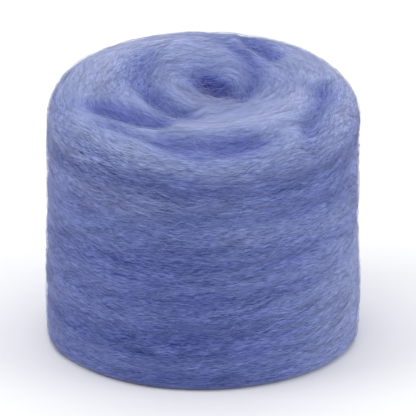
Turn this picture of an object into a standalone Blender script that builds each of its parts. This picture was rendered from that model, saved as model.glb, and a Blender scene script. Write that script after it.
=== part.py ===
"""A drum of combed wool roving, wound from one continuous length and resting on its flat end.

Metres, +Z up. The origin is the middle of the base, and the front of the drum faces -Y.
A place on the surface is given by its angle round the axis and by its reach: the distance along the
drum's section from the middle of the top, out over the rim and down the side.
"""

import bmesh
import bpy
import numpy as np

# ---- driving dimensions ----
RADIUS = 0.065  # of the drum where its rim ends
FOOT_RADIUS = 0.0662  # of the drum just above the base: the winding settles a little
HEIGHT = 0.111  # over the axis, before the top sinks
TOP_SLOPE = 5.0  # degrees: the top is lower at the front than at the back
RIM_ROUND = 0.015  # radius of the soft rim between the top and the side
FOOT_ROUND = 0.0035  # radius of the edge that the drum rests on
DISH_RADIUS = 0.044  # the top sinks towards the eye of the winding
DISH_DEPTH = 0.004

# ---- how finely the solid is cut ----
COLUMNS = 96
TOP_RINGS = 17
RIM_RINGS = 9
SIDE_RINGS = 20
FOOT_RINGS = 3
BASE_RINGS = 3

# ---- the eye, where the first turns leave a pit ----
EYE_X = 0.0046
EYE_Y = 0.0058
EYE_LENGTH = 0.025
EYE_WIDTH = 0.013
EYE_TURN = -64.0  # degrees from +X to the pit's long direction
EYE_DEPTH = 0.0055

# ---- the turns on the top: each row is one crease (sunk) or one band (raised) ----
# Angles are in degrees, counted from +X towards +Y. A row runs from its first angle to its last, and its
# middle runs through the three reaches. Reach, half width and depth are in millimetres, and a negative
# depth stands proud.
TURN_COLUMNS = ("first", "last", "reach_first", "reach_mid", "reach_last", "half_width", "depth")
TURNS = {
    "inner_left_crease": (112, 192, 41, 31, 24, 6.0, 3.2),
    "inner_front_crease": (172, 274, 24, 23.3, 33.8, 5.0, 4.0),
    "outer_left_crease": (194, 258, 53, 43.5, 44, 6.0, 4.4),
    "front_pocket": (244, 300, 55.5, 57.5, 57.5, 5.4, 3.4),
    "right_crease": (306, 364, 65, 53.5, 50, 4.8, 3.8),
    "back_inner_crease": (-50, 92, 19, 22.5, 50, 4.6, 2.8),
    "back_outer_crease": (34, 76, 40, 45, 55, 4.4, 4.0),
    "front_band": (228, 360, 53, 47.5, 40, 6.5, -1.6),
    "outer_left_band": (194, 284, 59, 64.5, 68, 5.5, -1.5),
    "outer_right_band": (260, 352, 74, 65, 59, 6.0, -1.2),
    "back_left_band": (78, 200, 46, 42, 38, 7.5, -1.2),
}

# ---- the wraps round the side: each row is the valley between two wraps ----
# A valley dips by its dip at the dip angle and rises by as much on the far side. It is deepest at its
# strong angle.
VALLEY_COLUMNS = ("reach", "dip", "dip_angle", "strong_angle", "half_width", "depth")
VALLEYS = {
    "under_the_rim": (76.5, 4.4, 310, 275, 5.0, 1.8),
    "upper_side": (96.0, -3.0, 300, 70, 4.8, 1.6),
    "mid_side": (113.0, 1.2, 330, 245, 5.2, 1.9),
    "lower_side": (127.0, 3.5, 190, 225, 4.6, 1.2),
    "above_the_foot": (143.0, 5.0, 217, 255, 5.2, 1.8),
}
SIDE_SHARE = 0.3  # how much of a valley's depth is left at the drum's left and right
WEAK_SHARE = 0.25  # how much of it is left opposite its strong angle
TURN_FADE = 0.45  # the share of a turn's half span over which it dies away at each end

MM = 0.001
WOOL_BLUE = (0.130, 0.175, 0.445, 1.0)
WOOL_ROUGHNESS = 0.9


def bell(distance, half_width):
    return np.exp(-((distance / half_width) ** 2))


def ease(share):
    """A smooth rise from 0 to 1 as the share goes from 0 to 1."""
    share = np.clip(share, 0.0, 1.0)
    return share**2 * (3.0 - 2.0 * share)


def profile():
    """The drum's section from the middle of the top to the middle of the base, as (radius, height) rows."""
    flat = RADIUS - RIM_ROUND
    top_r = np.linspace(0.0, flat, TOP_RINGS + 1)
    sink = np.clip(1.0 - (top_r / DISH_RADIUS) ** 2, 0.0, 1.0) ** 2
    top_z = HEIGHT - DISH_DEPTH * sink

    turn = np.linspace(0.0, np.pi / 2, RIM_RINGS + 1)[1:]
    rim_r = flat + RIM_ROUND * np.sin(turn)
    rim_z = HEIGHT - RIM_ROUND * (1.0 - np.cos(turn))

    down = np.linspace(0.0, 1.0, SIDE_RINGS + 1)[1:]
    side_r = RADIUS + (FOOT_RADIUS - RADIUS) * ease(down)
    side_z = rim_z[-1] + (FOOT_ROUND - rim_z[-1]) * down

    under = np.linspace(0.0, np.pi / 2, FOOT_RINGS + 1)[1:]
    foot_r = FOOT_RADIUS - FOOT_ROUND * (1.0 - np.cos(under))
    foot_z = FOOT_ROUND * (1.0 - np.sin(under))
    foot_z[-1] = 0.0

    base_r = np.linspace(foot_r[-1], 0.0, BASE_RINGS + 1)[1:]
    base_z = np.zeros(BASE_RINGS)
    radius = np.concatenate([top_r, rim_r, side_r, foot_r, base_r])
    height = np.concatenate([top_z, rim_z, side_z, foot_z, base_z])
    return np.column_stack([radius, height])


def reaches(section):
    """How far along the section each of its points lies."""
    steps = np.linalg.norm(np.diff(section, axis=0), axis=1)
    return np.concatenate([[0.0], np.cumsum(steps)])


def outward(section):
    """The section's outward direction at each of its points, as (radius, height) rows."""
    along = np.gradient(section, axis=0)
    along /= np.linalg.norm(along, axis=1)[:, None]
    return np.column_stack([-along[:, 1], along[:, 0]])


def turn_relief(angle, reach, row):
    """How deep one crease of the top sinks at each place, or how far a band rises."""
    turn = dict(zip(TURN_COLUMNS, row))
    middle = (turn["first"] + turn["last"]) / 2
    half_span = (turn["last"] - turn["first"]) / 2
    along = ((np.degrees(angle) - middle + 180.0) % 360.0 - 180.0) / half_span
    lean = (turn["reach_last"] - turn["reach_first"]) / 2
    bow = (turn["reach_first"] + turn["reach_last"]) / 2 - turn["reach_mid"]
    path = turn["reach_mid"] + lean * along + bow * along**2
    across = bell(reach - path * MM, turn["half_width"] * MM)
    return turn["depth"] * MM * ease((1.0 - np.abs(along)) / TURN_FADE) * across


def valley_relief(angle, reach, row):
    """How deep one valley between two wraps of the side sinks at each place."""
    valley = dict(zip(VALLEY_COLUMNS, row))
    dip = valley["dip"] * np.cos(angle - np.radians(valley["dip_angle"]))
    across = bell(reach - (valley["reach"] + dip) * MM, valley["half_width"] * MM)
    toward = 0.5 + 0.5 * np.cos(angle - np.radians(valley["strong_angle"]))
    share = SIDE_SHARE + (1.0 - SIDE_SHARE) * np.sin(angle) ** 2
    share *= WEAK_SHARE + (1.0 - WEAK_SHARE) * toward
    return valley["depth"] * MM * share * across


def eye_relief(x, y):
    """How deep the pit at the middle of the winding sinks at each place."""
    turn = np.radians(EYE_TURN)
    along = (x - EYE_X) * np.cos(turn) + (y - EYE_Y) * np.sin(turn)
    across = (y - EYE_Y) * np.cos(turn) - (x - EYE_X) * np.sin(turn)
    squared = (2.0 * along / EYE_LENGTH) ** 2 + (2.0 * across / EYE_WIDTH) ** 2
    return EYE_DEPTH * np.exp(-squared)


def relief(points, reach):
    """How far each point sinks along its outward direction."""
    angle = np.arctan2(points[:, 1], points[:, 0])
    sunk = np.where(points[:, 2] > HEIGHT / 2, eye_relief(points[:, 0], points[:, 1]), 0.0)
    for row in TURNS.values():
        sunk += turn_relief(angle, reach, row)
    for row in VALLEYS.values():
        sunk += valley_relief(angle, reach, row)
    return sunk


def turned_mesh(section):
    """The section turned round the axis with a Screw modifier, as a mesh."""
    line = bpy.data.meshes.new("section")
    corners = [(radius, 0.0, height) for radius, height in section]
    line.from_pydata(corners, [(i, i + 1) for i in range(len(corners) - 1)], [])
    guide = bpy.data.objects.new("section", line)
    bpy.context.scene.collection.objects.link(guide)
    screw = guide.modifiers.new("turn", "SCREW")
    screw.axis = "Z"
    screw.angle = 2.0 * np.pi
    screw.steps = COLUMNS
    screw.render_steps = COLUMNS
    screw.use_merge_vertices = True
    screw.merge_threshold = 0.00001
    graph = bpy.context.evaluated_depsgraph_get()
    mesh = bpy.data.meshes.new_from_object(guide.evaluated_get(graph))
    bpy.data.objects.remove(guide)
    bpy.data.meshes.remove(line)
    return mesh


def weld(mesh):
    """Closes the seam and both poles of a turned mesh."""
    form = bmesh.new()
    form.from_mesh(mesh)
    bmesh.ops.remove_doubles(form, verts=form.verts, dist=0.00001)
    form.to_mesh(mesh)
    form.free()


def press_turns(mesh, section):
    """Moves each point of the plain drum by the relief of the winding, then slopes the top.

    The flat base stays as it is.
    """
    points = np.empty(3 * len(mesh.vertices), np.float32)
    mesh.vertices.foreach_get("co", points)
    points = points.reshape(-1, 3).astype(float)
    radius = np.hypot(points[:, 0], points[:, 1])
    gap = np.abs(radius[:, None] - section[:, 0]) + np.abs(points[:, 2, None] - section[:, 1])
    ring = gap.argmin(axis=1)

    facing = outward(section)[ring]
    side = points[:, :2] / np.maximum(radius, MM)[:, None]
    sunk = relief(points, reaches(section)[ring])
    sunk[points[:, 2] <= FOOT_ROUND] = 0.0
    points[:, :2] -= side * (facing[:, 0] * sunk)[:, None]
    points[:, 2] -= facing[:, 1] * sunk
    points[:, 2] *= 1.0 + points[:, 1] * np.tan(np.radians(TOP_SLOPE)) / HEIGHT
    mesh.vertices.foreach_set("co", points.astype(np.float32).ravel())
    mesh.update()


def wool():
    """Dyed merino wool: mid blue, matt, with the soft edge glow of loose fibres."""
    material = bpy.data.materials.new("dyed_wool")
    material.use_nodes = True
    shader = material.node_tree.nodes["Principled BSDF"]
    shader.inputs["Base Color"].default_value = WOOL_BLUE
    shader.inputs["Roughness"].default_value = WOOL_ROUGHNESS
    shader.inputs["Metallic"].default_value = 0.0
    material.diffuse_color = WOOL_BLUE
    return material


def roving_drum(collection):
    """The whole drum: one length of roving, wound round and round until it closes on itself."""
    section = profile()
    mesh = turned_mesh(section)
    weld(mesh)
    press_turns(mesh, section)
    mesh.name = "roving_drum"
    mesh.materials.clear()
    mesh.materials.append(wool())
    mesh.shade_smooth()
    drum = bpy.data.objects.new("roving_drum", mesh)
    collection.objects.link(drum)
    return drum


def main():
    for old in list(bpy.data.objects):
        bpy.data.objects.remove(old)
    collection = bpy.data.collections.new("wool_roving")
    bpy.context.scene.collection.children.link(collection)
    roving_drum(collection)


main()
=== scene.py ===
# %% [markdown]
# # A drum of wool roving
#
# Roving is wool that has been washed, dyed and combed into one long loose rope, ready for spinning or
# felting. About four metres of it, wound round and round, make a soft drum 13 cm across. This lesson
# dresses the plain solid of that drum. It first makes the wound surface as a fine mesh, then lays
# thousands of crimped wisps of fibre along the winding, and last sets the light and the camera.
#
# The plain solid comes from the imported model. Everything here is in metres and in the same frame, so
# nothing has to be fitted by eye.

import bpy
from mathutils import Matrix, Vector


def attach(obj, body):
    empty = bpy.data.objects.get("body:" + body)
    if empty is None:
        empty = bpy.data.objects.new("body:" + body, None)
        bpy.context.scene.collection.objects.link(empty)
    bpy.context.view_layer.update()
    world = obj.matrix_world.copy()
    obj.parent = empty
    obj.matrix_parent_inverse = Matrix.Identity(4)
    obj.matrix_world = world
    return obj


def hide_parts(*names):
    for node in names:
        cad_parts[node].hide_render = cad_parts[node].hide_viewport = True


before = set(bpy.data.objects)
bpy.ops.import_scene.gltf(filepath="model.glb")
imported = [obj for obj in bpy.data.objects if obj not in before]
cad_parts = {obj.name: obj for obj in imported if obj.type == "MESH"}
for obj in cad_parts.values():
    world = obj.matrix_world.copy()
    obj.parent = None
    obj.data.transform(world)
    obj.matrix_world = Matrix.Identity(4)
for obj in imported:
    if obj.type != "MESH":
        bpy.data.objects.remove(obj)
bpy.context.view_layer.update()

# %% Modules and units
import math

import bpy
import numpy as np

MM = 0.001
DRUM = "roving_drum"
rng = np.random.default_rng(25)  # one stream of random numbers, so the wool is the same at every run

# The Standard view shows the colours as they are set here.
bpy.context.scene.view_settings.view_transform = "Standard"
print("Blender", bpy.app.version_string)

# %% [markdown]
# ## The section of the drum
#
# A wound drum is nearly a turned shape, so a place on it needs two numbers: its angle round the axis, and
# its reach, which is the way from the middle of the top, out over the soft rim and down the side. The
# section below turns a reach into a radius, a height and an outward direction. It is kept as a dense
# polyline, because np.interp can read it for a hundred thousand points at once.

# %% The section
RADIUS = 65.0 * MM  # where the rim ends
FOOT_RADIUS = 66.2 * MM  # just above the base: the winding settles a little
HEIGHT = 111.0 * MM  # over the axis, before the top sinks
TOP_SLOPE = math.tan(math.radians(5.0))  # the top is lower at the front than at the back
RIM_ROUND = 15.0 * MM  # radius of the soft rim between the top and the side
FOOT_ROUND = 3.5 * MM  # radius of the edge that the drum rests on
DISH_RADIUS = 44.0 * MM  # the top sinks towards the eye of the winding
DISH_DEPTH = 4.0 * MM
SECTION_POINTS = 400  # on each of the section's five parts


def ease(share):
    """A smooth rise from 0 to 1 as the share goes from 0 to 1."""
    share = np.clip(share, 0.0, 1.0)
    return share**2 * (3.0 - 2.0 * share)


def section_line():
    """The section from the middle of the top to the middle of the base, as (radius, height) rows."""
    share = np.linspace(0.0, 1.0, SECTION_POINTS)
    turn = share * math.pi / 2
    flat = RADIUS - RIM_ROUND
    sink = np.clip(1.0 - (share * flat / DISH_RADIUS) ** 2, 0.0, 1.0) ** 2
    rim_height = HEIGHT - RIM_ROUND * (1.0 - np.cos(turn))
    side_radius = RADIUS + (FOOT_RADIUS - RADIUS) * ease(share)
    side_height = rim_height[-1] + (FOOT_ROUND - rim_height[-1]) * share
    foot_radius = FOOT_RADIUS - FOOT_ROUND * (1.0 - np.cos(turn))
    parts = (
        (share * flat, HEIGHT - DISH_DEPTH * sink),
        (flat + RIM_ROUND * np.sin(turn), rim_height),
        (side_radius, side_height),
        (foot_radius, FOOT_ROUND * (1.0 - np.sin(turn))),
        (foot_radius[-1] * (1.0 - share), 0.0 * share),
    )
    top, *others = (np.column_stack(part) for part in parts)
    return np.concatenate([top, *(part[1:] for part in others)])


section = section_line()
reach_at = np.concatenate([[0.0], np.cumsum(np.linalg.norm(np.diff(section, axis=0), axis=1))])
facing = np.gradient(section, reach_at, axis=0)
facing /= np.linalg.norm(facing, axis=1)[:, None]
facing = np.column_stack([-facing[:, 1], facing[:, 0]])
REACH_FOOT = reach_at[np.argmax(section[:, 1] <= 0.0)]  # where the drum meets the floor
print(f"reach at the floor {REACH_FOOT / MM:.0f} mm, at the middle of the base {reach_at[-1] / MM:.0f} mm")


# %% Places on the drum
def place(angle, reach, proud):
    """Points on the drum, or so far proud of it, as x, y and z columns. Here the top gets its slope."""
    radius = np.interp(reach, reach_at, section[:, 0])
    height = np.interp(reach, reach_at, section[:, 1])
    radius = radius + proud * np.interp(reach, reach_at, facing[:, 0])
    height = height + proud * np.interp(reach, reach_at, facing[:, 1])
    x, y = radius * np.cos(angle), radius * np.sin(angle)
    return np.stack([x, y, height * (1.0 + y * TOP_SLOPE / HEIGHT)], axis=-1)


print("a place on the front of the side:", place(-math.pi / 2, 100.0 * MM, 0.0).round(4))

# %% [markdown]
# ## Noise
#
# Wool is never even. Blender's own noise only lives inside materials and modifiers, so this short function
# gives the same kind of smooth, repeatable unevenness to arrays of points. It turns each whole number of
# x, y and z into one value by multiplying with large primes and mixing the bits, and eases between them.

# %% A smooth noise for arrays
CORNER_PRIMES = np.array([73856093, 19349663, 83492791])
SEED_PRIME = 7919
MIXING_PRIME = 1274126177
LOW_BITS = 0xFFFF


def noise(x, y, z, seed):
    """Smooth noise from -1 to 1, with one random value at each whole number of x, y and z."""
    points = np.stack(np.broadcast_arrays(x, y, z), axis=-1)
    cell = np.floor(points).astype(np.int64)
    part = ease(points - cell)
    total = 0.0
    for corner in np.ndindex(2, 2, 2):
        key = (cell + corner) @ CORNER_PRIMES + seed * SEED_PRIME
        key = (key ^ (key >> 13)) * MIXING_PRIME
        value = ((key ^ (key >> 16)) & LOW_BITS) / (LOW_BITS / 2) - 1.0
        total = total + value * np.where(corner, part, 1.0 - part).prod(axis=-1)
    return total


print("noise at three places:", noise(np.array([0.2, 1.7, 5.1]), 0.5, 0.5, 1).round(3))

# %% [markdown]
# ## The turns of the winding
#
# What one sees on the real drum is the way the last turns lie: a pit where the winding starts, long
# creases that curl round it, two broad bands that cross at the front, and soft wraps down the side. The
# tables name each of them once. The same rows press the wound surface and steer the fibres, so the combed
# texture always runs along the creases, as it does in wool. Two fine turns are too slight for the solid:
# the folds where the outer bands meet in a V at the front.
#
# Angles are in degrees, counted from +X towards +Y, with the front of the drum at 270. Reach, half width
# and depth are in millimetres. A turn runs from its first angle to its last, and its middle runs through
# the three reaches. A negative depth stands proud.

# %% The eye and the turns on the top
EYE_X, EYE_Y = 4.6 * MM, 5.8 * MM
EYE_LENGTH, EYE_WIDTH = 25.0 * MM, 13.0 * MM
EYE_TURN = math.radians(-64.0)  # from +X to the pit's long direction
EYE_DEPTH = 5.5 * MM

TURN_COLUMNS = ("first", "last", "reach_first", "reach_mid", "reach_last", "half_width", "depth")
TURNS = {
    "inner_left_crease": (112, 192, 41, 31, 24, 6.0, 3.2),
    "inner_front_crease": (172, 274, 24, 23.3, 33.8, 5.0, 4.0),
    "outer_left_crease": (194, 258, 53, 43.5, 44, 6.0, 4.4),
    "front_pocket": (244, 300, 55.5, 57.5, 57.5, 5.4, 3.4),
    "right_crease": (306, 364, 65, 53.5, 50, 4.8, 3.8),
    "back_inner_crease": (-50, 92, 19, 22.5, 50, 4.6, 2.8),
    "back_outer_crease": (34, 76, 40, 45, 55, 4.4, 4.0),
    "front_band": (228, 360, 53, 47.5, 40, 6.5, -1.6),
    "outer_left_band": (194, 284, 59, 64.5, 68, 5.5, -1.5),
    "outer_right_band": (260, 352, 74, 65, 59, 6.0, -1.2),
    "back_left_band": (78, 200, 46, 42, 38, 7.5, -1.2),
}
FINE_TURNS = {
    "left_fold_line": (212, 276, 59, 57.5, 68, 1.8, 1.1),
    "right_fold_line": (258, 308, 67, 62, 59, 1.8, 1.0),
}
TURN_FADE = 0.45  # the share of a turn's half span over which it dies away at each end
print(f"{len(TURNS)} turns and {len(FINE_TURNS)} fine ones on the top")

# %% [markdown]
# Down the side, a valley lies between each two wraps. It dips by its dip at the dip angle, rises by as much
# on the far side, and is deepest at its strong angle.

# %% The valleys on the side
VALLEY_COLUMNS = ("reach", "dip", "dip_angle", "strong_angle", "half_width", "depth")
VALLEYS = {
    "under_the_rim": (76.5, 4.4, 310, 275, 5.0, 1.8),
    "upper_side": (96.0, -3.0, 300, 70, 4.8, 1.6),
    "mid_side": (113.0, 1.2, 330, 245, 5.2, 1.9),
    "lower_side": (127.0, 3.5, 190, 225, 4.6, 1.2),
    "above_the_foot": (143.0, 5.0, 217, 255, 5.2, 1.8),
}
SIDE_SHARE = 0.3  # how much of a valley's depth is left at the drum's left and right
WEAK_SHARE = 0.25  # how much of it is left opposite its strong angle
print(f"{len(VALLEYS)} valleys down the side")

# %% [markdown]
# Streaks and patches are a change of colour alone. A streak is a darker or paler band that runs like a
# turn: it has the columns of a turn, and its depth only counts as colour: deeper where it is over 0, paler
# where it is under. A patch adds to the tone and the grain, which are explained further on; what it adds to
# the tone is painted light where it is over 0, and painted shade where it is under.

# %% The streaks and patches
STREAKS = {
    "low_left_streak": (178, 258, 154, 147.5, 154.5, 5.0, 0.3),
    "low_left_pale_streak": (185, 262, 143, 137.5, 138.5, 4.0, -0.9),
    "high_left_pale_streak": (190, 257, 92, 88.5, 92, 5.0, -0.9),
    "high_right_pale_streak": (272, 345, 99.5, 101.5, 101, 5.0, -0.9),
    "rim_right_pale_streak": (298, 345, 72.5, 71, 70, 3.0, -0.9),
}
PATCH_COLUMNS = ("angle", "reach", "angle_spread", "reach_spread", "tone", "grain")
# a patch's tone is painted light and shade: paler where the drum is lit more, darker where it lies in shade
SHADE_LIGHT_AND_GRAIN_PATCHES = {
    "right_flank": (-30, 148, 34, 36, 0.24, 0.0),
    "top_left": (145, 54, 52, 18, 0.17, 0.1),
    "top_right": (28, 56, 30, 14, 0.14, 0.3),
    "left_shoulder": (217, 73, 30, 12, 0.06, 0.9),
    "right_shoulder": (334, 60, 28, 16, 0.1, 0.45),
    "front_right_band": (292, 68, 20, 8, 0.05, 0.0),
    "front_rim": (256, 86, 46, 16, 0.06, 0.0),
    "front_ridge": (262, 48, 22, 6, 0.08, 0.0),
    "left_arm": (252, 62, 14, 7, 0.06, 0.0),
    "inner_left": (150, 32, 40, 11, 0.0, 0.7),
    "back": (85, 38, 50, 16, 0.0, 0.5),
    "front_middle": (246, 117, 26, 8, -0.04, 0.0),
    "front_low": (262, 142, 30, 12, -0.07, 0.0),
    "left_foot": (224, 163, 26, 10, 0.07, 0.0),
    "left_edge": (190, 128, 24, 46, -0.08, 0.0),
    "front_strip": (282, 102, 12, 18, 0.07, 0.0),
}
print(f"{len(STREAKS)} streaks and {len(SHADE_LIGHT_AND_GRAIN_PATCHES)} patches")


# %% How turns, valleys and the eye run
def degrees_past(angle, middle):
    """How many degrees each angle lies past a middle one, from -180 to 180."""
    return (np.degrees(angle) - middle + 180.0) % 360.0 - 180.0


def turn_path(angle, row):
    """A turn's columns, its reach at each angle, and its strength there, which dies away at both ends."""
    turn = dict(zip(TURN_COLUMNS, row))
    middle = (turn["first"] + turn["last"]) / 2
    half_span = (turn["last"] - turn["first"]) / 2
    along = degrees_past(angle, middle) / half_span
    lean = (turn["reach_last"] - turn["reach_first"]) / 2
    bow = (turn["reach_first"] + turn["reach_last"]) / 2 - turn["reach_mid"]
    path = (turn["reach_mid"] + lean * along + bow * along**2) * MM
    return turn, path, ease((1.0 - np.abs(along)) / TURN_FADE)


def valley_path(angle, row):
    """A valley's columns, its reach at each angle, its strength there, and what the rounded sides leave."""
    valley = dict(zip(VALLEY_COLUMNS, row))
    dip = valley["dip"] * np.cos(angle - math.radians(valley["dip_angle"]))
    path = (valley["reach"] + dip) * MM
    toward = 0.5 + 0.5 * np.cos(angle - math.radians(valley["strong_angle"]))
    share = SIDE_SHARE + (1.0 - SIDE_SHARE) * np.sin(angle) ** 2
    return valley, path, WEAK_SHARE + (1.0 - WEAK_SHARE) * toward, share


def eye_share(angle, reach):
    """1 in the middle of the eye's pit, dying away to 0 round it."""
    x, y = reach * np.cos(angle) - EYE_X, reach * np.sin(angle) - EYE_Y
    along = x * math.cos(EYE_TURN) + y * math.sin(EYE_TURN)
    across = y * math.cos(EYE_TURN) - x * math.sin(EYE_TURN)
    return np.exp(-((2.0 * along / EYE_LENGTH) ** 2) - (2.0 * across / EYE_WIDTH) ** 2)


for front_turn in ("front_band", "front_pocket"):
    front_path = turn_path(math.radians(270.0), TURNS[front_turn])[1]
    print(f"{front_turn} crosses the front at a reach of {front_path / MM:.1f} mm")

# %% [markdown]
# ## Relief and lay
#
# Two numbers follow from the tables at any place. The relief says how far the wool sinks there. The lay
# is a number that stays the same along each fibre and grows from one fibre to the next, so its level lines
# are the combing. Near a turn the lay copies that turn's line, and between turns it blends them.

# %% Relief and lay from the tables
GAP_HALF = 1.5 * MM  # half width of the narrow gap at the bottom of a crease
GAP_DEPTH = 0.7 * MM
GAP_LEAST = 3.5  # a turn sunk by more than this many millimetres has such a gap
DRAWN_REACH = 32.0 * MM  # inside it, the fibres circle more and more round the eye
STEER_WIDTH = 12.0 * MM  # how far a turn steers the fibres beside it
STEER_BASE = 0.2  # the pull of the plain circle, where a turn's own line pulls with 1
STEER_MOST = 8.0 * MM  # how far a turn can carry them inwards or outwards


def bell(distance, half_width):
    """1 where the distance is 0, dying away smoothly to both sides."""
    return np.exp(-((distance / half_width) ** 2))


def relief(angle, reach, gap_depth=GAP_DEPTH):
    """How far the wool sinks below the plain drum at each place, with narrow gaps as deep as asked for."""
    sunk = EYE_DEPTH * eye_share(angle, reach)
    for row in (*TURNS.values(), *FINE_TURNS.values()):
        turn, path, strength = turn_path(angle, row)
        across = bell(reach - path, turn["half_width"] * MM)
        sunk = sunk + turn["depth"] * MM * strength * across
        if turn["depth"] > GAP_LEAST:
            sunk = sunk + gap_depth * strength * bell(reach - path, GAP_HALF)
    for row in VALLEYS.values():
        valley, path, strength, share = valley_path(angle, row)
        across = bell(reach - path, valley["half_width"] * MM)
        sunk = sunk + valley["depth"] * MM * strength * share * across
    return sunk


def lay(angle, reach):
    """The number whose level lines the fibres follow, in metres across the combing."""
    drawn = ease(1.0 - reach / DRAWN_REACH)
    x, y = reach * np.cos(angle) - EYE_X * drawn, reach * np.sin(angle) - EYE_Y * drawn
    own = np.hypot(x, y)
    shift, weight = 0.0, STEER_BASE
    for row in TURNS.values():
        turn, path, strength = turn_path(angle, row)
        near = strength * bell(reach - path, STEER_WIDTH)
        away = path - turn["reach_mid"] * MM
        shift = shift + near * STEER_MOST * np.tanh(away / STEER_MOST)
        weight = weight + near
    for row in VALLEYS.values():
        valley, path, _, _ = valley_path(angle, row)
        near = bell(reach - path, STEER_WIDTH)
        shift = shift + near * (path - valley["reach"] * MM)
        weight = weight + near
    return own - shift / weight


pocket = (math.radians(272.0), 57.5 * MM)
print(f"the front pocket sinks {relief(*pocket) / MM:.1f} mm, and its lay is {lay(*pocket) / MM:.1f} mm")

# %% [markdown]
# Light has to find its way out of the wool in its gaps, so they look deeper in colour, and a third number,
# the tone, paints that shade and also light into the colour: 1 is the palest wool, painted light on top of
# the bands, and 0 is the deepest blue, painted shade down in the eye. A fourth number, the grain, says how
# much one fibre differs from the next: little on the smooth top, more on the tight side, and most in the
# eye, where pale fibres cross the dark.

# %% The grain
REACH_RIM = reach_at[np.argmax(section[:, 0] >= RADIUS - RIM_ROUND)]  # where the rim starts to curve down
REACH_SIDE = REACH_RIM + 2.0 * RIM_ROUND  # where the look of the side is reached
TOP_GRAIN = 0.5
EYE_GRAIN = 1.5  # added at the middle of the eye


def past_rim(reach):
    """0 on the top, 1 on the side."""
    return ease((reach - REACH_RIM) / (REACH_SIDE - REACH_RIM))


def patched(angle, reach, column):
    """What the patches add to the tone, as painted light and shade, or to the grain at each place."""
    added = 0.0
    for row in SHADE_LIGHT_AND_GRAIN_PATCHES.values():
        patch = dict(zip(PATCH_COLUMNS, row))
        round_it = bell(degrees_past(angle, patch["angle"]), patch["angle_spread"])
        down_it = bell(reach - patch["reach"] * MM, patch["reach_spread"] * MM)
        added = added + patch[column] * (round_it * down_it)
    return added


def grain_at(angle, reach):
    """How much fibres differ from their neighbours at each place: 1 on the plain side."""
    grain = TOP_GRAIN + (1.0 - TOP_GRAIN) * past_rim(reach) + EYE_GRAIN * eye_share(angle, reach)
    return grain + patched(angle, reach, "grain")


spots = (np.radians([270.0, 270.0, 52.0]), np.array([47.0, 110.0, 7.4]) * MM)
print("grain on the front band, down the side and in the eye:", grain_at(*spots).round(2))

# %% The tone, with painted shade and painted light
LIT_TOP_TONE = 0.66  # of the top, before the turns: painted light, paler than the side
SHADED_SIDE_TONE = 0.48  # of the side just below the rim: painted shade, darker than the top
SHADED_FOOT_TONE = 0.42  # of the side at the floor: painted shade, darker still towards the floor
CREASE_SHADE = 0.092  # painted shade: taken off for each millimetre of a crease's depth
BAND_HIGHLIGHT = 0.07  # painted light: added for each millimetre that a band stands proud
VALLEY_SHADE = 0.03  # painted shade: taken off for each millimetre of a valley's depth
SOFT_EDGE = 1.25  # the change of tone is this much wider than the crease
EYE_SHADE = 1.5  # painted shade taken off at the middle of the eye's pit
EYE_SPREAD = 1.4  # a power: over 1, the painted shade keeps to the middle of the pit
TONE_DRIFTS = (  # length along the combing and width across it in millimetres, seed, strength
    (75.0, 4.5, 21, 0.08),
    (38.0, 1.9, 23, 0.06),
)
TONE_ENDS = (0.03, 0.97)  # the lowest and highest tone of the surface


def combed(points, across, along_mm, across_mm, seed):
    """Noise whose patches are along_mm long in the combing and across_mm wide across it."""
    x, y, z = np.moveaxis(points, -1, 0) / MM / along_mm
    return noise(x, y, z + across / MM / across_mm, seed)


def tone_at(angle, reach):
    """How pale the wool is painted at each place, from 0 to 1, with painted shade and painted light in it."""
    # painted light and shade: the lit top paler, the side in shade darker, and darker still towards the floor
    tone = LIT_TOP_TONE + (SHADED_SIDE_TONE - LIT_TOP_TONE) * past_rim(reach)
    tone = tone + (SHADED_FOOT_TONE - SHADED_SIDE_TONE) * ease((reach - REACH_SIDE) / (REACH_FOOT - REACH_SIDE))
    # painted shade down in the eye's pit
    tone = tone - EYE_SHADE * eye_share(angle, reach) ** EYE_SPREAD
    # painted shade in the creases and painted light on the proud bands; the streaks take the same rates
    for row in (*TURNS.values(), *FINE_TURNS.values(), *STREAKS.values()):
        turn, path, strength = turn_path(angle, row)
        a_millimetre = CREASE_SHADE if turn["depth"] > 0.0 else BAND_HIGHLIGHT
        wide = bell(reach - path, SOFT_EDGE * turn["half_width"] * MM)
        tone = tone - a_millimetre * turn["depth"] * strength * wide
    # painted shade in the valleys
    for row in VALLEYS.values():
        valley, path, strength, _ = valley_path(angle, row)
        wide = bell(reach - path, SOFT_EDGE * valley["half_width"] * MM)
        tone = tone - VALLEY_SHADE * valley["depth"] * strength * wide
    # painted light and shade from the patches
    tone = tone + patched(angle, reach, "tone")
    points, across = place(angle, reach, 0.0), lay(angle, reach)
    for along_mm, across_mm, seed, strength in TONE_DRIFTS:
        tone = tone + strength * grain_at(angle, reach) * combed(points, across, along_mm, across_mm, seed)
    return np.clip(tone, *TONE_ENDS)


print("tone at the same three places:", tone_at(*spots).round(2))

# %% [markdown]
# ## The wound surface
#
# On the real drum the last turns lie side by side like a blanket round the winding. A flat grid does the
# same here: its columns go round the axis and its rows go from the middle of the top, over the rim, to the
# middle of the base. Blender's grid also brings a UV map with no overlaps, which is what a baked texture
# needs. Once it is rolled, two of its edges meet at the back and the other two close to a point.

# %% Roll a grid into the drum
GRID_COLUMNS = 400  # round the axis: each about 1 mm wide on the side
GRID_ROWS = 236
BASE_ROWS = 22  # so many of the rows lie under the drum
SHOWN_ROWS = GRID_ROWS - BASE_ROWS

bpy.ops.object.select_all(action="DESELECT")
bpy.ops.mesh.primitive_grid_add(x_subdivisions=GRID_COLUMNS, y_subdivisions=GRID_ROWS, size=1.0)
body = bpy.context.object
body.name = "wound_wool"
body.data.name = "wound_wool"
body.data.uv_layers[0].name = "OFBake"

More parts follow.
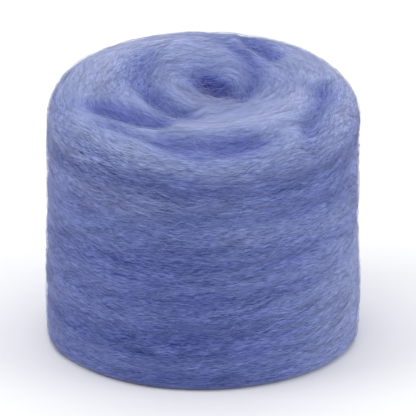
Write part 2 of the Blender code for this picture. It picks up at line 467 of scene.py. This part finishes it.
flat_points = np.empty(3 * len(body.data.vertices), np.float32)
body.data.vertices.foreach_get("co", flat_points)
flat_points = flat_points.reshape(-1, 3).astype(float)
body_angle = (flat_points[:, 0] + 0.5) * 2.0 * math.pi + math.pi / 2  # so the seam lies at the back
row_share = (0.5 - flat_points[:, 1]) * GRID_ROWS
over = np.minimum(row_share, SHOWN_ROWS) / SHOWN_ROWS * REACH_FOOT
under = np.maximum(row_share - SHOWN_ROWS, 0.0) / BASE_ROWS * (reach_at[-1] - REACH_FOOT)
body_reach = over + under
print(f"{len(body.data.vertices)} points, {2 * len(body.data.polygons)} triangles")

# %% [markdown]
# The wool's own unevenness comes in three sizes: slow swells where wraps are fuller, locks about 4 mm
# wide where fibres cling together, and fine ribs about 2 mm wide. Locks and ribs are stretched along the
# lay. The surface lies a little below the plain drum, to leave room for the wisps that cover it.

# %% Press the turns and raise the locks
SWELL = 0.5 * MM  # the most by which a swell rises or sinks
SWELL_SIZE = 24.0 * MM
SWELL_SEED = 3
LOCK = 0.2 * MM  # the most by which a lock rises or sinks where the grain is 1
LOCK_GRAIN = (40.0, 4.0, 5)  # length and width in millimetres, seed
RIB = 0.07 * MM
RIB_GRAIN = (14.0, 1.8, 7)
WISP_ROOM = 0.4 * MM  # the surface lies this much below the plain drum
FOOT_EASE = 6.0 * MM  # the relief dies away over this reach above the flat base


def swell_at(points):
    """How far the wool swells at each point of the plain drum."""
    return SWELL * noise(*np.moveaxis(points / SWELL_SIZE, -1, 0), SWELL_SEED)


body_lay = lay(body_angle, body_reach)
body_grain = grain_at(body_angle, body_reach)
plain = place(body_angle, body_reach, 0.0)
locks = combed(plain, body_lay, *LOCK_GRAIN)
ribs = combed(plain, body_lay, *RIB_GRAIN)
loose = ease((REACH_FOOT - body_reach) / FOOT_EASE)
uneven = swell_at(plain) + body_grain * (LOCK * locks + RIB * ribs)
proud = loose * (uneven - WISP_ROOM - relief(body_angle, body_reach))
pressed = place(body_angle, body_reach, proud)
body.data.vertices.foreach_set("co", pressed.astype(np.float32).ravel())
print(f"sunk by up to {-proud.min() / MM:.1f} mm, height {pressed[:, 2].max() / MM:.1f} mm")

# %% [markdown]
# The material will need the lay, the tone and the grain at each point, so they are stored in the mesh. The
# two edges of the grid that meet at the back now lie on each other, and so do all the points in the middle
# of the top and of the base. Merging them closes the surface.

# %% Store what the material reads, and close the seams
WELD = 0.00001  # metres: points nearer to each other than this become one

for name, values in (
    ("lay", body_lay / MM),
    ("tone", tone_at(body_angle, body_reach)),
    ("grain", body_grain),
):
    layer = body.data.attributes.new(name, "FLOAT", "POINT")
    layer.data.foreach_set("value", values.astype(np.float32))
body.data.update()

bpy.ops.object.mode_set(mode="EDIT")
bpy.ops.mesh.select_all(action="SELECT")
bpy.ops.mesh.remove_doubles(threshold=WELD)
bpy.ops.mesh.normals_make_consistent(inside=False)
bpy.ops.object.mode_set(mode="OBJECT")
bpy.ops.object.shade_smooth()
print(f"merged to {len(body.data.vertices)} points")

# %% [markdown]
# ## Fibres
#
# A merino fibre is 0.02 mm thick, far too thin to show, but it clings to its neighbours, and what shows is
# wisps of a few fibres. The wisps here are 0.06 to 0.19 mm wide, as coarse as they need to be to show at
# this size. Each has the crimp of the fleece: a wave every 3 to 4 mm. Modelling each by hand would take
# for ever, and so would one curve object each, so they are worked out together as arrays and made into a
# few joined meshes.
#
# A wisp starts somewhere on the drum and walks along the lay, a little to one side of it. Wisps that start
# close together lean the same way, because combing leaves fibres in locks.

# %% Trace wisps along the lay
WISP_STEP = 0.85 * MM
REACH_ENDS = (2.5 * MM, REACH_FOOT - 1.5 * MM)  # wisps keep between these reaches
LEAST_RADIUS = 3.0 * MM  # so that a step round the eye stays finite
LEAST_RISE = 0.2  # the lay is taken to grow outwards by at least this, so that no wisp turns round


def radius_at(reach):
    """The drum's radius at each reach."""
    return np.maximum(np.interp(reach, reach_at, section[:, 0]), LEAST_RADIUS)


def trace(angle, reach, lean, bend, steps):
    """Walks from each start along the lay, turned by its lean, and returns the angles and reaches passed."""
    small = 0.3 * MM  # how far apart the lay is read
    passed = [(angle, reach)]
    for i in range(steps):
        radius = radius_at(reach)
        here = lay(angle, reach)
        rise = (lay(angle, reach + small) - here) / small
        turn = (lay(angle + small / radius, reach) - here) / small
        heading = np.arctan2(-turn, np.maximum(rise, LEAST_RISE)) + lean + bend * i
        angle = angle + WISP_STEP * np.cos(heading) / radius
        reach = np.clip(reach + WISP_STEP * np.sin(heading), *REACH_ENDS)
        passed.append((angle, reach))
    return np.moveaxis(np.array(passed), 0, -1)


passed_angles = trace(np.radians([270.0]), np.array([47.0 * MM]), 0.0, 0.0, 16)[0]
print(f"a wisp on the front band walks {np.degrees(np.ptp(passed_angles)):.0f} degrees round the axis")


# %% The way the wool faces
def wool_normal(angle, reach):
    """The way the pressed wool faces at each place, without the narrow gaps."""
    small = 0.5 * MM  # how far apart the relief is read
    here, round_it, down_it = (
        place(angle + round_step, reach + down_step, -relief(angle + round_step, reach + down_step, 0.0))
        for round_step, down_step in ((0.0, 0.0), (small / radius_at(reach), 0.0), (0.0, small))
    )
    facing_out = np.cross(down_it - here, round_it - here)
    return facing_out / np.linalg.norm(facing_out, axis=-1, keepdims=True)


print("the front pocket faces", wool_normal(*pocket).round(2))

# %% [markdown]
# The crimp is a wave from side to side. Each wisp gets a wave of its own length, swing and phase, so that
# the crimp reads as a fine liveliness all over and never as a pattern.

# %% Crimp
CRIMP_WAVE = 3.5 * MM
WAVE_SPREAD = (0.85, 1.25)  # the shares of that length which waves take
SWING_SPREAD = (0.4, 1.4)  # the shares of a set's crimp which wisps take
PHASE_SEED = 11
LOCK_PHASE = 2.0  # waves by which the phase drifts from lock to lock, besides each wisp's own


def crimped(angle, reach, start, crimp):
    """The same wisps, each swaying from side to side by about the set's crimp."""
    count, points = angle.shape
    walked = np.linspace(0.0, 1.0, points) * (points - 1) * WISP_STEP
    wave = rng.uniform(*WAVE_SPREAD, (count, 1)) * CRIMP_WAVE
    phase = LOCK_PHASE * noise(*start.T, PHASE_SEED)[:, None] + rng.uniform(0.0, 1.0, (count, 1))
    swing = crimp * rng.uniform(*SWING_SPREAD, (count, 1))
    sway = swing * np.sin(2.0 * math.pi * (walked / wave + phase))
    run = np.stack([np.gradient(angle, axis=1) * radius_at(reach), np.gradient(reach, axis=1)], axis=-1)
    run /= np.linalg.norm(run, axis=-1, keepdims=True)
    return angle - sway * run[..., 1] / radius_at(reach), reach + sway * run[..., 0]


print(f"waves of {WAVE_SPREAD[0] * CRIMP_WAVE / MM:.1f} to {WAVE_SPREAD[1] * CRIMP_WAVE / MM:.1f} mm")

# %% [markdown]
# A wisp's centre line also lifts off the surface and dips back: it arches a little, sinks with the turns,
# and bridges the narrow gaps more than it dips into them. Its colour is partly the tone where it starts,
# as a real fibre keeps its own, and partly the tone of each place that it passes, with the painted shade
# and light of that place.

# %% Centre lines
SPARE_STARTS = 6  # so many reaches are drawn for one wisp, and those on a small radius mostly dropped
LOCK_SIZE = 7.0 * MM  # wisps that start this close lean alike
LOCK_LEAN = 1.6  # how much of a set's lean is shared by a lock
OWN_LEAN = 0.6  # how much of it is the wisp's own
LEAN_SEED = 13
BEND = 0.02  # radians a step
EYE_TANGLE = 3.0  # in the eye, fibres lie this much more across each other
FIBRE_TONE = (0.02, 0.05)  # mean and spread of what one wisp adds to the tone, on the plain side
ARCH = 0.5 * MM  # the most by which a wisp's middle rises over its ends
ARCH_SINK = 0.6  # the share of its arch by which its ends lie deeper
WISP_GAP = 0.3 * GAP_DEPTH  # how far wisps dip into the narrow gaps
WISP_FLOOR = 0.2 * MM  # no wisp lies lower than this above the base
WISP_TONES = (0.01, 0.99)  # the lowest and highest tone of a wisp, so that it stays on its colour chart


def even_starts(count, angles, reaches):
    """Angles and reaches of places that lie evenly over an area of the drum."""
    reach = rng.uniform(*reaches, SPARE_STARTS * count)
    radius = np.interp(reach, reach_at, section[:, 0])
    keep = rng.uniform(0.0, FOOT_RADIUS, SPARE_STARTS * count) < radius
    return rng.uniform(*angles, count), reach[keep][:count]


def wisp_lines(count, steps, lean_spread, lift, crimp, sinks, angles, reaches, own_tone):
    """Wisps over an area: their centre lines, the way the wool faces there, their tone and their grain."""
    angle, reach = even_starts(count, angles, reaches)
    start = place(angle, reach, 0.0) / LOCK_SIZE
    lean = lean_spread * (LOCK_LEAN * noise(*start.T, LEAN_SEED) + rng.normal(0.0, OWN_LEAN, count))
    tangle = 1.0 + EYE_TANGLE * eye_share(angle, reach) ** 0.5
    bend = rng.normal(0.0, BEND, count) * tangle
    grain = grain_at(angle, reach)
    fibre_tone = rng.normal(*FIBRE_TONE, count) * grain
    start_tone = tone_at(angle, reach)
    angle, reach = trace(angle, reach, lean * tangle, bend, steps)
    tone = own_tone * start_tone[:, None] + (1.0 - own_tone) * tone_at(angle, reach) + fibre_tone[:, None]
    facing_out = wool_normal(angle, reach)

    share = np.linspace(0.0, 1.0, steps + 1)
    arch = rng.uniform(0.0, ARCH, (count, 1)) * (np.sin(math.pi * share) - ARCH_SINK)
    height = rng.uniform(*lift, (count, 1)) + arch - sinks * relief(angle, reach, WISP_GAP)
    height += swell_at(place(angle, reach, 0.0))
    line = place(*crimped(angle, reach, start, crimp), height)
    line[..., 2] = np.maximum(line[..., 2], WISP_FLOOR)
    return line, facing_out, np.clip(tone, *WISP_TONES), grain


print(f"no wisp lies lower than {WISP_FLOOR / MM:.1f} mm above the base")

# %% [markdown]
# A wisp is a tube with three flat sides that tapers to thin tips, which is all that shows at this size. The
# tubes are ordinary closed meshes, but their shading normals are set to the way the wool under them faces.
# Light then treats each wisp as part of the soft pile, and not as a hard wire with a lit and a dark side.
#
# Each wisp also has its own narrow strip of a colour chart as its UV map. The chart has the tone across and
# the lightness up, so one small material can colour thousands of wisps.

# %% The points and faces of three-sided tubes
SIDES = 3
CORNER_TURNS = (math.pi / 2, math.pi * 7 / 6, math.pi * 11 / 6)
FLAT = 0.5  # a wisp is a flat bundle: about half as high as it is wide
TAPER = 0.35  # a power: under 1, a wisp keeps its width nearly to its tips
TIP = 0.12  # the share of its width that is left at a tip


def tube_points(lines, facing_out, thickness):
    """The corners of every ring of every wisp."""
    count, rings, _ = lines.shape
    side = np.cross(np.gradient(lines, axis=1), facing_out)
    side /= np.linalg.norm(side, axis=-1, keepdims=True)
    share = np.linspace(0.0, 1.0, rings)
    taper = np.maximum((4.0 * share * (1.0 - share)) ** TAPER, TIP)
    width = thickness[:, None, None] * taper[None, :, None]
    points = np.empty((count, rings, SIDES, 3))
    for k, turn in enumerate(CORNER_TURNS):
        points[:, :, k] = lines + width * (math.cos(turn) * side + FLAT * math.sin(turn) * facing_out)
    return points


def tube_faces(count, rings):
    """The point numbers of the four-sided faces between rings, and of the caps at both tips."""
    base = (np.arange(count) * rings * SIDES)[:, None, None]
    ring = (np.arange(rings - 1) * SIDES)[None, :, None]
    k = np.arange(SIDES)[None, None, :]
    a, b = base + ring + k, base + ring + (k + 1) % SIDES
    quads = np.stack([b, a, a + SIDES, b + SIDES], axis=-1).reshape(-1, 4)
    first = base[:, 0] + np.array([0, 1, 2])
    last = base[:, 0] + SIDES * (rings - 1) + np.array([2, 1, 0])
    return quads, np.concatenate([first, last])


print("faces and caps of a wisp of 16 steps:", *(len(faces) for faces in tube_faces(1, 17)))

# %% One closed mesh of many wisps
STRIP_WIDTH = 0.006  # of the chart
STRIP_HEIGHT = 0.08  # of the chart: a wisp gets a little lighter towards its far tip
LIGHT_MOST = 4.0  # the chart goes from this much darker to this much lighter


def tubes(name, lines, facing_out, thickness, tone, light):
    """One mesh of tapering tubes, with a strip of the colour chart for each."""
    count, rings, _ = lines.shape
    quads, caps = tube_faces(count, rings)
    corners = np.concatenate([quads.ravel(), caps.ravel()]).astype(np.int32)
    starts = np.concatenate([np.arange(len(quads)) * 4, len(quads) * 4 + np.arange(len(caps)) * SIDES])

    mesh = bpy.data.meshes.new(name)
    mesh.vertices.add(count * rings * SIDES)
    points = tube_points(lines, facing_out, thickness)
    mesh.vertices.foreach_set("co", points.astype(np.float32).ravel())
    mesh.loops.add(len(corners))
    mesh.loops.foreach_set("vertex_index", corners)
    mesh.polygons.add(len(starts))
    mesh.polygons.foreach_set("loop_start", starts.astype(np.int32))
    mesh.update(calc_edges=True)
    mesh.polygons.foreach_set("use_smooth", np.ones(len(starts), bool))
    mesh.normals_split_custom_set_from_vertices(np.repeat(facing_out.reshape(-1, 3), SIDES, axis=0).tolist())

    wisp, ring, side = corners // (rings * SIDES), corners // SIDES % rings, corners % SIDES
    across = tone[wisp, ring] + STRIP_WIDTH * (side / 2 - 0.5)
    up = 0.5 + 0.5 * light[wisp] / LIGHT_MOST + STRIP_HEIGHT * (ring / (rings - 1) - 0.5)
    layer = mesh.uv_layers.new(name="OFBake")
    layer.data.foreach_set("uv", np.column_stack([across, up]).astype(np.float32).ravel())
    made = bpy.data.objects.new(name, mesh)
    bpy.context.scene.collection.objects.link(made)
    print(f"{name}: {count} wisps, {2 * len(quads) + len(caps)} triangles")
    return made


# %% [markdown]
# Five meshes hold the wisps: one for the top and rim, two for the two halves of the side, a small tangle
# over the eye, and one of stray fibres that cross the rest and bridge the creases. On the top they lean
# more than on the side, because there the winding is less tight.
#
# Each row is one set of wisps. Lift, crimp, reaches and thickness are in millimetres, angles in degrees and
# the lean in radians. Thickness goes from a wisp's middle to its edge. Sinks is the share of the relief
# that a wisp follows: below 1 it bridges. Own tone is the share of its tone that it keeps from its start.
# The lightness is a mean and a spread.

# %% Lay the wisps
WISP_COLUMNS = (
    "count", "steps", "lean_spread", "lift", "crimp", "sinks",
    "angles", "reaches", "own_tone", "thickness", "lightness",
)
SIDE_WISPS = (2000, 16, 0.2, (-0.3, 0.2), 0.25, 0.97)
SIDE_LOOKS = ((74, 169), 0.4, (0.05, 0.11), (0.1, 1.3))
WISP_SETS = {
    "wisps_top": (
        2000, 16, 0.3, (-0.3, 0.25), 0.3, 0.94,
        (0, 360), (3, 84), 0.4, (0.05, 0.11), (0.15, 1.5),
    ),
    "wisps_side_front": (*SIDE_WISPS, (180, 360), *SIDE_LOOKS),
    "wisps_side_back": (*SIDE_WISPS, (0, 180), *SIDE_LOOKS),
    "eye_tangle": (
        250, 16, 0.6, (-0.1, 0.6), 0.5, 0.85,
        (0, 360), (2.5, 24), 0.8, (0.05, 0.1), (0.6, 1.0),
    ),
    "stray_fibres": (
        1350, 24, 0.6, (-0.1, 0.4), 0.35, 0.6,
        (0, 360), (5, 166), 0.6, (0.035, 0.07), (1.3, 1.4),
    ),
}
CHART_MARGIN = 0.3  # of lightness, left free at both ends of the chart for a wisp's strip

wisps = {}
for name, row in WISP_SETS.items():
    wisp_set = dict(zip(WISP_COLUMNS, row))
    thickness, lightness = wisp_set.pop("thickness"), wisp_set.pop("lightness")
    wisp_set["angles"] = np.radians(wisp_set["angles"])
    for in_mm in ("lift", "crimp", "reaches"):
        wisp_set[in_mm] = np.multiply(wisp_set[in_mm], MM)
    lines, facing_out, tone, grain = wisp_lines(**wisp_set)
    width = rng.uniform(*thickness, len(lines)) * MM
    light = np.minimum(grain, 1.0) * rng.normal(*lightness, len(lines))
    light = np.clip(light, CHART_MARGIN - LIGHT_MOST, LIGHT_MOST - CHART_MARGIN)
    wisps[name] = tubes(name, lines, facing_out, width, tone, light)

# %% [markdown]
# ## Dyed wool
#
# Merino takes acid dye unevenly: root and tip of a fibre differ, and light that enters the loose mass
# comes out again after many bounces, so the gaps look deeper in colour, not just darker; here that deeper
# colour is painted shade in the tone. The surface is matt with a soft glow at the edges, from thousands of
# fibre ends.

# %% Colours and a helper for nodes
def linear(hex_colour):
    """An sRGB hex colour as the linear values that a shader takes."""
    parts = [int(hex_colour[i : i + 2], 16) / 255 for i in (1, 3, 5)]
    return [c / 12.92 if c <= 0.04045 else ((c + 0.055) / 1.055) ** 2.4 for c in parts] + [1.0]


def add(tree, kind, settings=None, **links):
    """Adds a node, sets its properties, and sets or links its inputs, named with _ for a space."""
    node = tree.nodes.new(kind)
    for key, value in (settings or {}).items():
        setattr(node, key, value)
    for key, value in links.items():
        socket = node.inputs[int(key[1:])] if key[1:].isdigit() else node.inputs[key.replace("_", " ")]
        if isinstance(value, bpy.types.NodeSocket):
            tree.links.new(value, socket)
        else:
            socket.default_value = value
    return node


print("mid blue as a shader takes it:", [round(c, 3) for c in linear("#6774B3")])

# %% [markdown]
# All the wool shares one dye and one finish. A colour ramp turns the tone into a colour, from the deep blue
# of the painted shade in the gaps to the pale blue of the painted light on the top of a band. The lightness
# of a single wisp is painted light or shade on that fibre: it adds about as much to red and green as to
# blue, because a fibre that catches the light looks whiter and not bluer.

# %% The shared wool shader
DYE_LIGHT_AND_SHADE = (  # tone, colour: from the painted shade of the eye to the painted light on the bands
    (0.0, "#16227C"),
    (0.25, "#48569D"),
    (0.5, "#6774B3"),
    (0.75, "#8490BE"),
    (1.0, "#A6ADD4"),
)
LIGHT_GAIN = 0.13  # a lightness of 1 brightens the dye by this share
LIGHT_LIFT = 0.034  # and adds this much to each of red, green and blue
LEAST_COLOUR = 0.002  # red, green and blue stay above this, however dark a wisp is
WOOL_FINISH = {
    "Roughness": 0.85,  # matt, because light is scattered between the fibres
    "IOR": 1.54,  # of wool fibre
    "Specular IOR Level": 0.25,  # loose fibres reflect less than a closed surface
    "Sheen Weight": 0.45,  # a soft glow of fibre ends at grazing angles
    "Sheen Roughness": 0.5,
    "Sheen Tint": linear("#D6DCF0"),  # nearly white, as thin fibre ends look
}


def wool_shader(tree, tone, light):
    """The surface that all the wool shares: dyed to a tone that carries painted shade and light, lightened or
    darkened by painted light, with the wool's finish.
    """
    shader = tree.nodes["Principled BSDF"]
    for socket_name, value in WOOL_FINISH.items():
        shader.inputs[socket_name].default_value = value
    dye = add(tree, "ShaderNodeValToRGB", Fac=tone)
    while len(dye.color_ramp.elements) < len(DYE_LIGHT_AND_SHADE):
        dye.color_ramp.elements.new(1.0)
    for element, (at, hex_colour) in zip(dye.color_ramp.elements, DYE_LIGHT_AND_SHADE):
        element.position = at
        element.color = linear(hex_colour)
    gain = add(tree, "ShaderNodeMath", {"operation": "MULTIPLY_ADD"}, _0=light, _1=LIGHT_GAIN, _2=1.0)
    lift = add(tree, "ShaderNodeMath", {"operation": "MULTIPLY"}, _0=light, _1=LIGHT_LIFT)
    colour = add(
        tree,
        "ShaderNodeVectorMath",
        {"operation": "MULTIPLY_ADD"},
        _0=dye.outputs["Color"],
        _1=gain.outputs[0],
        _2=lift.outputs[0],
    )
    least = (LEAST_COLOUR,) * 3
    kept = add(tree, "ShaderNodeVectorMath", {"operation": "MAXIMUM"}, _0=colour.outputs[0], _1=least)
    tree.links.new(kept.outputs[0], shader.inputs["Base Color"])
    return shader


print(f"{len(DYE_LIGHT_AND_SHADE)} colours in the dye")

# %% [markdown]
# Between the wisps, the wound surface shows, so it carries crimped streaks of its own: painted light and
# shade of single fibres, lighter and darker along the lay. They are noise that is stretched along the lay:
# the lay counts the millimetres across the combing, and a second, slower noise moves it to and fro, which
# bends the streaks like crimp. Real fibres are 0.02 mm thick, too fine to show, so the streaks are drawn
# 0.34 mm wide. A little light also passes through the loose wool, as subsurface scattering.

# %% The wound surface's material
STREAK_LENGTH = 3.4 * MM
STREAK_WIDTH_MM = 0.34
WANDER_SIZE = 2.2 * MM  # half a wave or so of crimp
WANDER_MM = 0.9  # how far the streaks move to and fro
NOISE_DETAIL = 1.0
NOISE_ROUGHNESS = 0.6
NOISE_ENDS = (0.25, 0.75)  # nearly all of Blender's noise lies between these
LIGHT_CONTRAST = 2.0  # the streaks' painted light and shade go from this much darker to this much lighter
BUMP_STRENGTH = 0.4
BUMP_HEIGHT = 0.25 * MM
LOOSE_WOOL = {
    "Subsurface Weight": 0.25,
    "Subsurface Radius": (0.6, 0.8, 1.0),  # blue goes furthest through blue wool
    "Subsurface Scale": 2.0 * MM,
}


def dyed_wool_combed():
    """Combed and dyed merino top: crimped streaks of painted light and shade along the lay, and painted shade
    in the gaps.
    """
    material = bpy.data.materials.new("dyed_merino_combed")
    material.use_nodes = True
    tree = material.node_tree
    position = add(tree, "ShaderNodeTexCoord").outputs["Object"]
    lay_mm, tone, grain = (
        add(tree, "ShaderNodeAttribute", {"attribute_name": name}).outputs["Fac"]
        for name in ("lay", "tone", "grain")
    )
    wander = add(tree, "ShaderNodeTexNoise", Vector=position, Scale=1.0 / WANDER_SIZE, Detail=NOISE_DETAIL)
    bent_lay = add(
        tree,
        "ShaderNodeMath",
        {"operation": "MULTIPLY_ADD"},
        _0=wander.outputs["Fac"],
        _1=WANDER_MM,
        _2=lay_mm,
    )
    level = add(tree, "ShaderNodeMath", {"operation": "DIVIDE"}, _0=bent_lay.outputs[0], _1=STREAK_WIDTH_MM)
    stretched = add(
        tree,
        "ShaderNodeVectorMath",
        {"operation": "MULTIPLY_ADD"},
        _0=position,
        _1=(1.0 / STREAK_LENGTH,) * 3,
        _2=add(tree, "ShaderNodeCombineXYZ", Z=level.outputs[0]).outputs[0],
    )
    streaks = add(
        tree,
        "ShaderNodeTexNoise",
        Vector=stretched.outputs[0],
        Scale=1.0,
        Detail=NOISE_DETAIL,
        Roughness=NOISE_ROUGHNESS,
    ).outputs["Fac"]
    contrast = add(
        tree,
        "ShaderNodeMapRange",
        Value=streaks,
        From_Min=NOISE_ENDS[0],
        From_Max=NOISE_ENDS[1],
        To_Min=-LIGHT_CONTRAST,
        To_Max=LIGHT_CONTRAST,
    )
    light = add(tree, "ShaderNodeMath", {"operation": "MULTIPLY"}, _0=contrast.outputs[0], _1=grain)
    shader = wool_shader(tree, tone, light.outputs[0])
    for socket_name, value in LOOSE_WOOL.items():
        shader.inputs[socket_name].default_value = value
    raised = add(tree, "ShaderNodeMath", {"operation": "MULTIPLY"}, _0=streaks, _1=grain).outputs[0]
    bump = add(tree, "ShaderNodeBump", Strength=BUMP_STRENGTH, Distance=BUMP_HEIGHT, Height=raised)
    tree.links.new(bump.outputs["Normal"], shader.inputs["Normal"])
    return material


body.data.materials.append(dyed_wool_combed())
print("wound surface:", body.data.materials[0].name)

# %% [markdown]
# The wisps are the same wool and need no pattern: their map already says how pale and how light each one
# is, so the material only reads those two numbers off the map.

# %% The wisps' material
def dyed_wool_wisps():
    """The same wool seen as wisps: the map's first number is the tone, and the second the lightness."""
    material = bpy.data.materials.new("dyed_merino_wisps")
    material.use_nodes = True
    tree = material.node_tree
    uv = add(tree, "ShaderNodeUVMap", {"uv_map": "OFBake"}).outputs["UV"]
    chart = add(tree, "ShaderNodeSeparateXYZ", Vector=uv)
    light = add(
        tree,
        "ShaderNodeMapRange",
        {"clamp": False},
        Value=chart.outputs["Y"],
        To_Min=-LIGHT_MOST,
        To_Max=LIGHT_MOST,
    )
    wool_shader(tree, chart.outputs["X"], light.outputs[0])
    return material


wisp_wool = dyed_wool_wisps()
for piece in wisps.values():
    piece.data.materials.append(wisp_wool)
print("wisps:", wisp_wool.name)

# %% [markdown]
# The drum is one body, so every piece rides with it. The wound surface takes the place of the plain solid,
# and the wisps lie on it.

# %% Dress the solid
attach(body, "root")
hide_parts(DRUM)
for piece in wisps.values():
    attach(piece, "root")
print("pieces:", body.name, *wisps)

# %% [markdown]
# ## Floor, light and camera
#
# The drum stands on a plain pale floor. A soft light from above and one from each side stand for the
# broad daylight of a product photo: the top is bright, and the front of the side is a little in shade.

# %% The floor
FLOOR_SIZE = 6.0
FLOOR_DROP = 0.0002  # metres below the base, so that the two don't lie in one plane

bpy.ops.object.select_all(action="DESELECT")
bpy.ops.mesh.primitive_plane_add(size=FLOOR_SIZE, location=(0.0, 0.0, -FLOOR_DROP))
floor = bpy.context.object
floor.name = "floor"
paper = bpy.data.materials.new("pale_paper")
paper.use_nodes = True
paper.node_tree.nodes["Principled BSDF"].inputs["Base Color"].default_value = linear("#F4F4F5")
paper.node_tree.nodes["Principled BSDF"].inputs["Roughness"].default_value = 0.9  # uncoated, so matt
floor.data.materials.append(paper)
print(f"floor of {FLOOR_SIZE:.0f} m")

# %% The lights
MIDDLE = np.array([0.0, 0.0, HEIGHT / 2])
LIGHTS = {  # place, size in metres, power in watts
    "overhead": ((0.0, 0.15, 1.1), 0.9, 4.8),
    "right_side": ((1.2, -0.3, 0.5), 0.7, 4.1),
    "left_side": ((-1.0, -0.25, 1.15), 0.7, 4.9),
}
ROOM_LIGHT = 0.67  # the strength of the even white light from all round


def softbox(name, at, size, power):
    """A square white area light that faces the drum's middle."""
    data = bpy.data.lights.new(name, "AREA")
    data.size = size
    data.energy = power
    light = bpy.data.objects.new(name, data)
    bpy.context.scene.collection.objects.link(light)
    light.location = at
    light.rotation_euler = (Vector(MIDDLE) - light.location).to_track_quat("-Z", "Y").to_euler()


for name, row in LIGHTS.items():
    softbox(name, *row)
world = bpy.data.worlds.new("studio")
world.use_nodes = True
world.node_tree.nodes["Background"].inputs["Color"].default_value = (1.0, 1.0, 1.0, 1.0)
world.node_tree.nodes["Background"].inputs["Strength"].default_value = ROOM_LIGHT
bpy.context.scene.world = world
print("lights:", *LIGHTS)

# %% [markdown]
# The photo looks down on the drum by about 21 degrees, and its sides hardly lean inwards, which a long lens
# far away gives. The camera is placed so that the drum shows at the photo's size and place.

# %% The camera
ELEVATION = math.radians(20.9)
DISTANCE = 24.0 * RADIUS
FRAME_PIXELS = 416.0
PIXELS_A_RADIUS = 155.0  # how large the drum's radius shows at the camera's distance
MIDDLE_PIXEL = (202.7, 207.0)  # where the drum's middle shows
FARTHEST = 20.0  # metres: what is farther from the camera isn't drawn

camera_data = bpy.data.cameras.new("camera")
camera = bpy.data.objects.new("camera", camera_data)
bpy.context.scene.collection.objects.link(camera)
frame_width = FRAME_PIXELS / PIXELS_A_RADIUS * RADIUS
camera_data.lens = camera_data.sensor_width * DISTANCE / frame_width
camera_data.clip_end = FARTHEST
pixel = frame_width / FRAME_PIXELS
aside = (FRAME_PIXELS / 2 - MIDDLE_PIXEL[0]) * pixel
above = (MIDDLE_PIXEL[1] - FRAME_PIXELS / 2) * pixel
up = np.array([0.0, math.sin(ELEVATION), math.cos(ELEVATION)])
back = np.array([0.0, -math.cos(ELEVATION), math.sin(ELEVATION)])
camera.location = MIDDLE + back * DISTANCE + up * above + np.array([aside, 0.0, 0.0])
camera.rotation_euler = (math.pi / 2 - ELEVATION, 0.0, 0.0)
bpy.context.scene.camera = camera
print(f"lens {camera_data.lens:.0f} mm at {DISTANCE:.2f} m")
